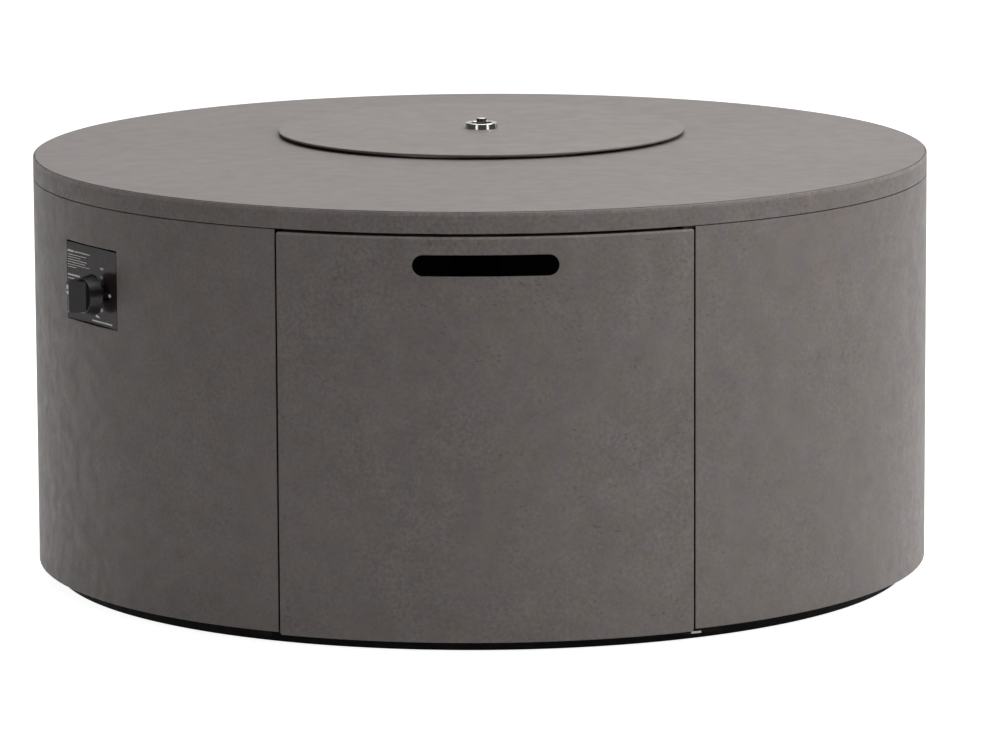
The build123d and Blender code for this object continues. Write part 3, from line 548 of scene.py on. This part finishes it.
def polished_steel(name, painted_shade_side=False):
    """Turned and polished stainless steel with very fine rings; its side can get painted shade, a darker colour on
    faces that don't face up.
    """
    paint = Paint(name)
    turned = paint.node("ShaderNodeTexNoise", noise_dimensions="1D")
    ring_place = paint.product(paint.axis_distance(handle_axis), TURNED_RINGS_PER_METRE)
    paint.feed(turned.inputs["W"], ring_place)
    turned.inputs["Detail"].default_value = TURNED_RING_DETAIL
    rings = turned.outputs["Fac"]
    steel = paint.mix(paint.noise(*SMEAR_NOISE), POLISHED_DARK, POLISHED_LIGHT)
    # Painted shade: faces that don't face up get a darker colour, standing in for dark reflections along the
    # sides.
    if painted_shade_side:
        facing = paint.along(paint.coordinates.outputs["Normal"], UP)
        upward = paint.spread(facing, UPWARD_SPAN, SHARE)
        steel = paint.mix(upward, POLISHED_PAINTED_SHADE, steel)
    paint.set(Base_Color=steel, Metallic=1.0, Specular_Tint=POLISHED_GRAZING)
    paint.set(Roughness=paint.spread(rings, NOISE_SPAN, POLISHED_ROUGHNESS))
    paint.surface(rings, TURNED_RING_DEPTH, POLISHED_EDGE)
    return paint.material


# Ceramic
GLAZE_WHITE = (0.74, 0.71, 0.65)
SMOKE_BROWN = (0.22, 0.19, 0.16)
SMOKE_NOISE = (160.0, 4.0)
SMOKE_SPAN = (0.48, 0.72)
SMOKE_SHARE = (0.0, 0.7)
GLAZE_ROUGHNESS = (0.2, 0.55)
GLAZE_NOISE = (300.0,)
GLAZE_DEPTH = 0.02 * MM
GLAZE_EDGE = 0.3 * MM


def glazed_ceramic(name):
    """Off-white glazed ceramic with smoke stains."""
    paint = Paint(name)
    smoke = paint.spread(paint.noise(*SMOKE_NOISE), SMOKE_SPAN, SMOKE_SHARE)
    paint.set(Base_Color=paint.mix(smoke, GLAZE_WHITE, SMOKE_BROWN))
    paint.set(Roughness=paint.spread(smoke, SMOKE_SHARE, GLAZE_ROUGHNESS))
    paint.surface(paint.noise(*GLAZE_NOISE), GLAZE_DEPTH, GLAZE_EDGE)
    return paint.material


# Lava stone
LAVA_CHARCOAL = (0.035, 0.031, 0.03)
LAVA_RUST = (0.105, 0.052, 0.038)
RUST_NOISE = (24.0, 4.0)
RUST_SPAN = (0.35, 0.68)
PORE_SCALE = 330.0
PORE_SPAN = (0.12, 0.42)
PORE_TONES = (0.25, 1.0)
LAVA_NOISE = (520.0, 4.0, 0.7)
LAVA_TONES = (0.6, 1.3)
LAVA_SHEEN_NOISE = (200.0,)
LAVA_ROUGHNESS = (0.85, 0.98)
LAVA_GRAIN_NOISE = (260.0, 5.0, 0.7)
LAVA_DEPTH = 1.2 * MM
LAVA_EDGE = 0.3 * MM


def lava_stone(name):
    """Porous volcanic stone, from charcoal to rust red."""
    paint = Paint(name)
    rust = paint.spread(paint.noise(*RUST_NOISE), RUST_SPAN, SHARE)
    pores = paint.spread(paint.cells(PORE_SCALE), PORE_SPAN, PORE_TONES)
    fine = paint.spread(paint.noise(*LAVA_NOISE), NOISE_SPAN, LAVA_TONES)
    stone = paint.mix(rust, LAVA_CHARCOAL, LAVA_RUST)
    paint.set(Base_Color=paint.shade(stone, paint.product(pores, fine)))
    paint.set(Roughness=paint.spread(paint.noise(*LAVA_SHEEN_NOISE), NOISE_SPAN, LAVA_ROUGHNESS))
    paint.surface(paint.product(pores, paint.noise(*LAVA_GRAIN_NOISE)), LAVA_DEPTH, LAVA_EDGE)
    return paint.material


# Printing ink
INK_WHITE = (0.86, 0.85, 0.83)
INK_WORN = (0.4, 0.4, 0.4)
INK_WEAR_NOISE = (900.0, 3.0)
INK_WEAR_SPAN = (0.55, 0.75)
INK_WEAR_SHARE = (0.0, 0.45)
INK_ROUGHNESS = (0.45, 0.6)


def white_ink(name):
    """Screen-printed off-white ink with worn spots."""
    paint = Paint(name)
    wear = paint.spread(paint.noise(*INK_WEAR_NOISE), INK_WEAR_SPAN, INK_WEAR_SHARE)
    paint.set(Base_Color=paint.mix(wear, INK_WHITE, INK_WORN))
    paint.set(Roughness=paint.spread(wear, INK_WEAR_SHARE, INK_ROUGHNESS))
    return paint.material


# Finish of each material slot, and of the nodes whose finish differs from their slot's
materials = {
    "concrete_coat": concrete_coat("concrete_coat", COAT_COLOUR, SHELL_TEXTURE, inside=True),
    "black_coat": powder_black("black_coat", gloss=0.3),
    "black_panel": satin_panel("black_panel"),
    "rubber": rubber("rubber"),
    "zinc": plated_metal("zinc", ZINC, rough=0.36),
    "black_nylon": moulded_plastic("black_nylon", NYLON_BLACK, rough=0.5),
    "magnet": moulded_plastic("magnet", MAGNET_GREY, rough=0.7),
    "knob_plastic": moulded_plastic("knob_plastic", KNOB_BLACK, rough=0.24, gloss=0.3),
    "valve_alloy": plated_metal("valve_alloy", VALVE_ALLOY, rough=0.48, spangle=140.0),
    "brass": plated_metal("brass", BRASS, rough=0.3, spangle=90.0),
    "stainless": brushed_steel("stainless", rough=0.34),
    "white_ceramic": glazed_ceramic("white_ceramic"),
    "lava": lava_stone("lava"),
    "polished_steel": polished_steel("polished_steel"),
}
ink = white_ink("white_ink")
black_zinc = plated_metal("black_zinc", BLACK_ZINC, rough=0.5)
plinth_black = powder_black("plinth_black", gloss=0.06)
# The door and the rim carry a painted highlight along their upper edges.
door_coat = concrete_coat("door_coat", COAT_COLOUR, DOOR_TEXTURE, inside=True, painted_highlight=DOOR_PAINTED_HIGHLIGHT)
rim_coat = concrete_coat("rim_coat", COAT_COLOUR, RIM_TEXTURE, inside=True, painted_highlight=RIM_PAINTED_HIGHLIGHT)
special_materials = {
    "plinth_ring": plinth_black,
    "base_tray": plinth_black,
    "left_jamb": plinth_black,
    "right_jamb": plinth_black,
    "push_collar": black_zinc,
    "lower_hinge_plate": worn_plate("worn_plate"),
    "door_panel": door_coat,
    "rim_band": rim_coat,
    "lid_plate": concrete_coat("lid_coat", LID_COLOUR, TOP_TEXTURE),
    "table_top": concrete_coat("top_coat", COAT_COLOUR, TOP_TEXTURE),
    "burner_ring": brushed_steel("burner_steel", rough=0.4, heat=True),
    "flame_probe": brushed_steel("probe_steel", rough=0.4, heat=True),
    # The stud's sides get painted shade.
    "handle_stud": polished_steel("stud_steel", painted_shade_side=True),
}


def dress_frame():
    """Gives every carried-over solid its own finish or that of its material slot."""
    for row in record["subparts"]:
        node = nodes[row["node"]]
        finish = special_materials.get(row["node"], materials[row["material_slot"]])
        node.data.materials.clear()
        node.data.materials.append(finish)


# New pieces

def add_piece(name, mesh, material, body):
    """Makes an object of a mesh and lets it ride on a body."""
    mesh.materials.append(material)
    piece = bpy.data.objects.new(name, mesh)
    scene.collection.objects.link(piece)
    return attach(piece, body)


def mesh_from(name, shape, smooth=True):
    """Turns a bmesh into a mesh."""
    mesh = bpy.data.meshes.new(name)
    shape.to_mesh(mesh)
    shape.free()
    mesh.polygons.foreach_set("use_smooth", [smooth] * len(mesh.polygons))
    return mesh


# Printed marks, in millimetres from the knob axis; a bar is its left, its right, its middle and its height
INK_DEPTH = 0.12
MARGIN_LEFT = -78.2
HEAD_RULES = ((MARGIN_LEFT, -64.0, 41.2, 2.2), (-62.0, -24.9, 41.2, 1.2))
RULE_RIGHT_ENDS = (-33.9, -47.6, -33.1, -35.9, -26.6, -58.1)
RULE_FIRST = 37.0
RULE_PITCH = 2.9
RULE_HEIGHT = 0.7
LOWER_RULES = ((MARGIN_LEFT, -49.4, 13.3, 1.8), (MARGIN_LEFT, -63.4, 9.3, 0.9))
DIAL_CENTRE = 2.0
DIAL_RADIUS = 18.9
DIAL_ANGLES = (0, 90, 180)
DOT_WIDE = 3.2
DOT_HIGH = 2.2
DOT_SIDES = 20
DASH = (-1.1, 6.9, 29.0, 2.4)
WEDGE = ((-12.5, -24.6), (-1.5, -28.8), (-12.5, -28.8))
FOOT_RULE = (-21.3, 26.3, -33.3, 1.7)
POINTER_BARS = ((-2.3, 2.3, 11.6, 4.6), (-2.3, 2.3, 5.4, 3.4))


def knob_plane():
    """Place of the knob axis on the control plate: x across, y up, z outward."""
    across = Vector((-knob_outward.y, knob_outward.x, 0.0))
    place = Matrix((across, UP, knob_outward)).transposed().to_4x4()
    place.translation = knob_place
    return place


def add_plaque(shape, outline, place):
    """Adds a thin closed plaque with the given outline, in millimetres, on a plane."""
    low = [shape.verts.new(place @ (Vector((x, y, 0.0)) * MM)) for x, y in outline]
    high = [shape.verts.new(place @ (Vector((x, y, INK_DEPTH)) * MM)) for x, y in outline]
    shape.faces.new(reversed(low))
    shape.faces.new(high)
    for index in range(len(outline)):
        following = (index + 1) % len(outline)
        shape.faces.new((low[index], low[following], high[following], high[index]))


def bar_outline(left, right, middle, height):
    bottom, top = middle - height / 2, middle + height / 2
    return [(left, bottom), (right, bottom), (right, top), (left, top)]


def dot_outline(x, y):
    angles = [2 * math.pi * index / DOT_SIDES for index in range(DOT_SIDES)]
    return [(x + DOT_WIDE * math.cos(angle), y + DOT_HIGH * math.sin(angle)) for angle in angles]


def panel_marks():
    """Plain rules, dial dots and a wedge on the control plate."""
    outlines = [bar_outline(*bar) for bar in (*HEAD_RULES, *LOWER_RULES, DASH, FOOT_RULE)]
    for row, right in enumerate(RULE_RIGHT_ENDS):
        outlines.append(bar_outline(MARGIN_LEFT, right, RULE_FIRST - RULE_PITCH * row, RULE_HEIGHT))
    for angle in DIAL_ANGLES:
        across = DIAL_CENTRE + DIAL_RADIUS * math.sin(math.radians(angle))
        up = DIAL_RADIUS * math.cos(math.radians(angle))
        outlines.append(dot_outline(across, up))
    outlines.append(WEDGE)
    shape = bmesh.new()
    for outline in outlines:
        add_plaque(shape, outline, knob_plane())
    mesh = mesh_from("panel_marks", shape, smooth=False)
    return add_piece("panel_marks", mesh, ink, "cabinet")


def knob_pointer():
    """Two plain bars on the tip of the knob's grip, which show where it points."""
    place = knob_plane()
    into_plane = place.inverted()
    tip = max((into_plane @ vertex.co).z for vertex in nodes["control_knob"].data.vertices)
    shape = bmesh.new()
    for bar in POINTER_BARS:
        add_plaque(shape, bar_outline(*bar), place @ Matrix.Translation(UP * tip))
    mesh = mesh_from("knob_pointer", shape, smooth=False)
    return add_piece("knob_pointer", mesh, ink, "knob")


# Lava stones: how much wider and higher they are than the plain ones, and their lumps and pits
STONE_SEED = 7
STONE_SWELL = 1.12
STONE_RISE = 1.05
STONE_DETAIL = 4
LUMP_REACH = 0.2
LUMP_SCALE = 1.3
LUMP_FALLOFF = 0.9
LUMP_SPACING = 2.0
LUMP_OCTAVES = 3
PIT_DEPTH = 0.05
PIT_SCALE = 6.0
NOISE_OFFSET = 40
WELD_DISTANCE = 0.01 * MM
SORT_DIGITS = 4

# Gravel: width, and depth, height and seat as shares of it; the room that it leaves free
GRAVEL_COUNT = 900
GRAVEL_SIZES = (4.5 * MM, 9.0 * MM)
GRAVEL_DEPTH_SHARES = (0.7, 1.0)
GRAVEL_HEIGHT_SHARES = (0.6, 0.9)
GRAVEL_SEAT_SHARE = 0.6
GRAVEL_DETAIL = 2
GRAVEL_WALL_GAP = 30.0 * MM
GRAVEL_HUB_ROOM = 26.0 * MM
BURNER_TUBE_HALF = 9.0 * MM

# Places round the stones, read from the frame
ring_low, ring_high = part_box("burner_ring")
bracket_low, bracket_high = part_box("ignition_bracket")
ring_radius = (ring_high.x - ring_low.x) / 2 - BURNER_TUBE_HALF
gravel_radius = (pan_high.x - pan_low.x) / 2 - GRAVEL_WALL_GAP
stone_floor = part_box("lava_rocks")[0].z


def stone_places(node):
    """Lowest and highest corner of each separate stone of a node."""
    shape = bmesh.new()
    shape.from_mesh(nodes[node].data)
    bmesh.ops.remove_doubles(shape, verts=shape.verts, dist=WELD_DISTANCE)
    waiting = set(shape.verts)
    boxes = []
    while waiting:
        island = [waiting.pop()]
        for vertex in island:
            for edge in vertex.link_edges:
                other = edge.other_vert(vertex)
                if other in waiting:
                    waiting.remove(other)
                    island.append(other)
        corners = [vertex.co for vertex in island]
        boxes.append((Vector(map(min, *corners)), Vector(map(max, *corners))))
    shape.free()
    return sorted(boxes, key=lambda box: (round(box[0].x, SORT_DIGITS), round(box[0].y, SORT_DIGITS)))


def add_stone(shape, centre, half, offset, detail):
    """Adds one rough stone that stands on the pan floor."""
    made = bmesh.ops.create_icosphere(shape, subdivisions=detail, radius=1.0)
    for vertex in made["verts"]:
        way = vertex.co.normalized()
        lump = noise.fractal(way * LUMP_SCALE + offset, LUMP_FALLOFF, LUMP_SPACING, LUMP_OCTAVES)
        pit = noise.cell(way * PIT_SCALE + offset)
        reach = 1.0 + LUMP_REACH * lump - PIT_DEPTH * pit
        spot = Vector((way.x * half.x, way.y * half.y, way.z * half.z)) * reach + centre
        spot.z = max(spot.z, stone_floor)
        vertex.co = spot


def random_offset(draw):
    return Vector([draw.uniform(-NOISE_OFFSET, NOISE_OFFSET) for _ in range(3)])


def add_rocks(shape, draw):
    """Adds a rough stone in place of each plain one; returns the round spots that they take."""
    taken = []
    for low, high in stone_places("lava_rocks"):
        centre = (low + high) / 2
        half = (high - low) / 2 * STONE_SWELL
        half.z = (high.z - low.z) / 2 * STONE_RISE
        add_stone(shape, centre, half, random_offset(draw), STONE_DETAIL)
        taken.append((centre.x, centre.y, max(half.x, half.y)))
    return taken


def beside_burner(x, y, radius, size):
    """Whether a stone of that size would lie on the burner's hub, its ring or the bracket."""
    near_hub = radius < GRAVEL_HUB_ROOM
    near_ring = abs(radius - ring_radius) < BURNER_TUBE_HALF + size
    across_bracket = abs(x) < bracket_high.x + 2 * size
    along_bracket = bracket_low.y - 2 * size < y < bracket_high.y + 2 * size
    return near_hub or near_ring or (across_bracket and along_bracket)


def add_gravel(shape, draw, taken):
    """Adds gravel wherever the spots taken and the burner leave room."""
    for _ in range(GRAVEL_COUNT):
        bearing = draw.uniform(0, 2 * math.pi)
        radius = gravel_radius * math.sqrt(draw.random())
        size = draw.uniform(*GRAVEL_SIZES)
        offset = random_offset(draw)
        x = burner_axis.x + radius * math.sin(bearing)
        y = burner_axis.y + radius * math.cos(bearing)
        crowded = any(math.hypot(x - a, y - b) < reach + size / 2 for a, b, reach in taken)
        if crowded or beside_burner(x, y, radius, size):
            continue
        depth = size * draw.uniform(*GRAVEL_DEPTH_SHARES)
        height = size * draw.uniform(*GRAVEL_HEIGHT_SHARES)
        centre = Vector((x, y, stone_floor + GRAVEL_SEAT_SHARE * size))
        add_stone(shape, centre, Vector((size, depth, height)), offset, GRAVEL_DETAIL)
        taken.append((x, y, size))


def lava_bed():
    """Rough stones in place of the plain ones, with gravel between them."""
    draw = random.Random(STONE_SEED)
    shape = bmesh.new()
    taken = add_rocks(shape, draw)
    add_gravel(shape, draw, taken)
    bed = add_piece("lava_bed", mesh_from("lava_bed", shape), materials["lava"], "cabinet")
    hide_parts("lava_rocks")
    return bed


# Return spring under the knob; the even climb is spread over all turns, the rest over the open ones
WIRE_RADIUS = 0.5 * MM
SPRING_EVEN_CLIMB = 4 * WIRE_RADIUS
SPRING_TURNS = 6
SPRING_CLOSED_TURNS = 0.75
SPRING_STEPS = 36
WIRE_SIDES = 10


def spring_rings(shape, place, radius, low, high):
    """Circles of vertices along a coil with closed end turns."""
    rings = []
    steps = SPRING_TURNS * SPRING_STEPS
    open_turns = SPRING_TURNS - 2 * SPRING_CLOSED_TURNS
    for step in range(steps + 1):
        share = step / steps
        rise = min(max((share * SPRING_TURNS - SPRING_CLOSED_TURNS) / open_turns, 0.0), 1.0)
        height = low + (high - low - SPRING_EVEN_CLIMB) * rise + SPRING_EVEN_CLIMB * share
        angle = 2 * math.pi * SPRING_TURNS * share
        outward = Vector((math.cos(angle), math.sin(angle), 0.0))
        centre = outward * radius + UP * height
        circle = []
        for side in range(WIRE_SIDES):
            turn = 2 * math.pi * side / WIRE_SIDES
            along = outward * math.cos(turn) + UP * math.sin(turn)
            circle.append(shape.verts.new(place @ (centre + along * WIRE_RADIUS)))
        rings.append(circle)
    return rings


def spring_mesh(place, radius, low, high):
    """Closed wire along the coil."""
    shape = bmesh.new()
    rings = spring_rings(shape, place, radius, low, high)
    for first, second in zip(rings, rings[1:]):
        for side in range(WIRE_SIDES):
            following = (side + 1) % WIRE_SIDES
            shape.faces.new((first[side], second[side], second[following], first[following]))
    shape.faces.new(rings[0])
    shape.faces.new(reversed(rings[-1]))
    bmesh.ops.recalc_face_normals(shape, faces=shape.faces)
    return mesh_from("knob_spring", shape)


def knob_spring():
    """Coil spring with closed end turns, in place of the plain one."""
    place = knob_plane()
    into_plane = place.inverted()
    corners = [into_plane @ vertex.co for vertex in nodes["return_spring"].data.vertices]
    low = min(corner.z for corner in corners) + WIRE_RADIUS
    high = max(corner.z for corner in corners) - WIRE_RADIUS
    radius = max(math.hypot(corner.x, corner.y) for corner in corners) - WIRE_RADIUS
    spring = add_piece("knob_spring", spring_mesh(place, radius, low, high), black_zinc, "cabinet")
    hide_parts("return_spring")
    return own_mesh(spring)


# Studio

def seen_directly(tree):
    """1 for camera, glossy and transmission rays, 0 for the rest."""
    path = tree.nodes.new("ShaderNodeLightPath")
    total = path.outputs["Is Camera Ray"]
    for name in ("Is Glossy Ray", "Is Transmission Ray"):
        larger = tree.nodes.new("ShaderNodeMath")
        larger.operation = "MAXIMUM"
        tree.links.new(total, larger.inputs[0])
        tree.links.new(path.outputs[name], larger.inputs[1])
        total = larger.outputs[0]
    return total


def add_stage(name, shape, material):
    """Adds a surface that belongs to the studio."""
    mesh = mesh_from(name, shape)
    mesh.materials.append(material)
    surface = bpy.data.objects.new(name, mesh)
    scene.collection.objects.link(surface)
    return surface


def studio_floor():
    """Pale floor that shows as white and keeps a faint shadow; under the plinth it doesn't glow."""
    paint = Paint("studio_floor")
    paint.set(Base_Color=FLOOR_COLOUR, Roughness=STAGE_ROUGHNESS)
    tree = paint.tree
    plinth_edge = (plinth_radius - FLOOR_GLOW_FADE, plinth_radius)
    strength = paint.spread(paint.axis_distance(ORIGIN), plinth_edge, (0.0, FLOOR_GLOW))
    glow = paint.node("ShaderNodeEmission")
    tree.links.new(strength, glow.inputs["Strength"])
    lit = paint.node("ShaderNodeAddShader")
    tree.links.new(paint.shader.outputs[0], lit.inputs[0])
    tree.links.new(glow.outputs[0], lit.inputs[1])
    chooser = paint.node("ShaderNodeMixShader")
    tree.links.new(seen_directly(tree), chooser.inputs["Fac"])
    tree.links.new(paint.shader.outputs[0], chooser.inputs[1])
    tree.links.new(lit.outputs[0], chooser.inputs[2])
    tree.links.new(chooser.outputs[0], tree.nodes["Material Output"].inputs["Surface"])
    shape = bmesh.new()
    bmesh.ops.create_grid(shape, x_segments=1, y_segments=1, size=FLOOR_SIZE)
    add_stage("studio_floor", shape, paint.material)


def dark_curtain():
    """Dark curtain behind and beside the camera, which only shows in glossy surfaces."""
    paint = Paint("dark_curtain")
    paint.set(Base_Color=CURTAIN_COLOUR, Roughness=STAGE_ROUGHNESS)
    paint.set(Emission_Color=WHITE, Emission_Strength=CURTAIN_GLOW)
    shape = bmesh.new()
    columns = []
    first, last = CURTAIN_BEARINGS
    for fold in range(CURTAIN_FOLDS + 1):
        bearing = math.radians(first + (last - first) * fold / CURTAIN_FOLDS)
        foot = Vector((math.sin(bearing), -math.cos(bearing), 0.0)) * CURTAIN_RADIUS
        head = foot + UP * CURTAIN_HEIGHT
        columns.append((shape.verts.new(foot), shape.verts.new(head)))
    for (foot, head), (next_foot, next_head) in zip(columns, columns[1:]):
        shape.faces.new((foot, next_foot, next_head, head))
    curtain = add_stage("dark_curtain", shape, paint.material)
    curtain.visible_camera = False
    curtain.visible_diffuse = False
    curtain.visible_transmission = False
    curtain.visible_shadow = False


def studio_world():
    """White surroundings with a low, even fill."""
    world = bpy.data.worlds.new("studio")
    scene.world = world
    world.use_nodes = True
    tree = world.node_tree
    back = tree.nodes["Background"]
    back.inputs["Color"].default_value = WHITE
    level = tree.nodes.new("ShaderNodeMapRange")
    level.inputs["To Min"].default_value = WORLD_FILL
    level.inputs["To Max"].default_value = WORLD_SEEN
    tree.links.new(seen_directly(tree), level.inputs["Value"])
    tree.links.new(level.outputs["Result"], back.inputs["Strength"])


def softboxes():
    """Rectangular lamps that face the object and stay out of the picture."""
    for name, place, width, height, power in SOFTBOXES:
        lamp = bpy.data.lights.new(name, "AREA")
        lamp.shape = "RECTANGLE"
        lamp.size = width
        lamp.size_y = height
        lamp.energy = power
        holder = bpy.data.objects.new(name, lamp)
        scene.collection.objects.link(holder)
        holder.location = place
        holder.rotation_mode = "QUATERNION"
        holder.rotation_quaternion = (LAMP_AIM - holder.location).to_track_quat("-Z", "Y")
        holder.visible_camera = False
        holder.visible_glossy = name not in HIDDEN_IN_GLOSS


def photo_camera():
    """Camera at the photograph's viewing angle."""
    data = bpy.data.cameras.new("photo_camera")
    data.sensor_fit = "HORIZONTAL"
    data.sensor_width = CAMERA_SENSOR
    data.lens = CAMERA_LENS
    camera = bpy.data.objects.new("photo_camera", data)
    scene.collection.objects.link(camera)
    turn = Matrix.Rotation(math.radians(CAMERA_YAW), 3, "Z")
    turn = turn @ Matrix.Rotation(-math.radians(CAMERA_PITCH), 3, "X")
    turn = turn @ Matrix.Rotation(math.radians(CAMERA_ROLL), 3, "Y")
    right, forward, up = turn.col[0], turn.col[1], turn.col[2]
    place = Matrix((right, up, -forward)).transposed().to_4x4()
    place.translation = CAMERA_PLACE
    camera.matrix_world = place
    scene.camera = camera


photo_camera()
dress_frame()
panel_marks()
knob_pointer()
lava_bed()
knob_spring()
studio_floor()
dark_curtain()
studio_world()
softboxes()
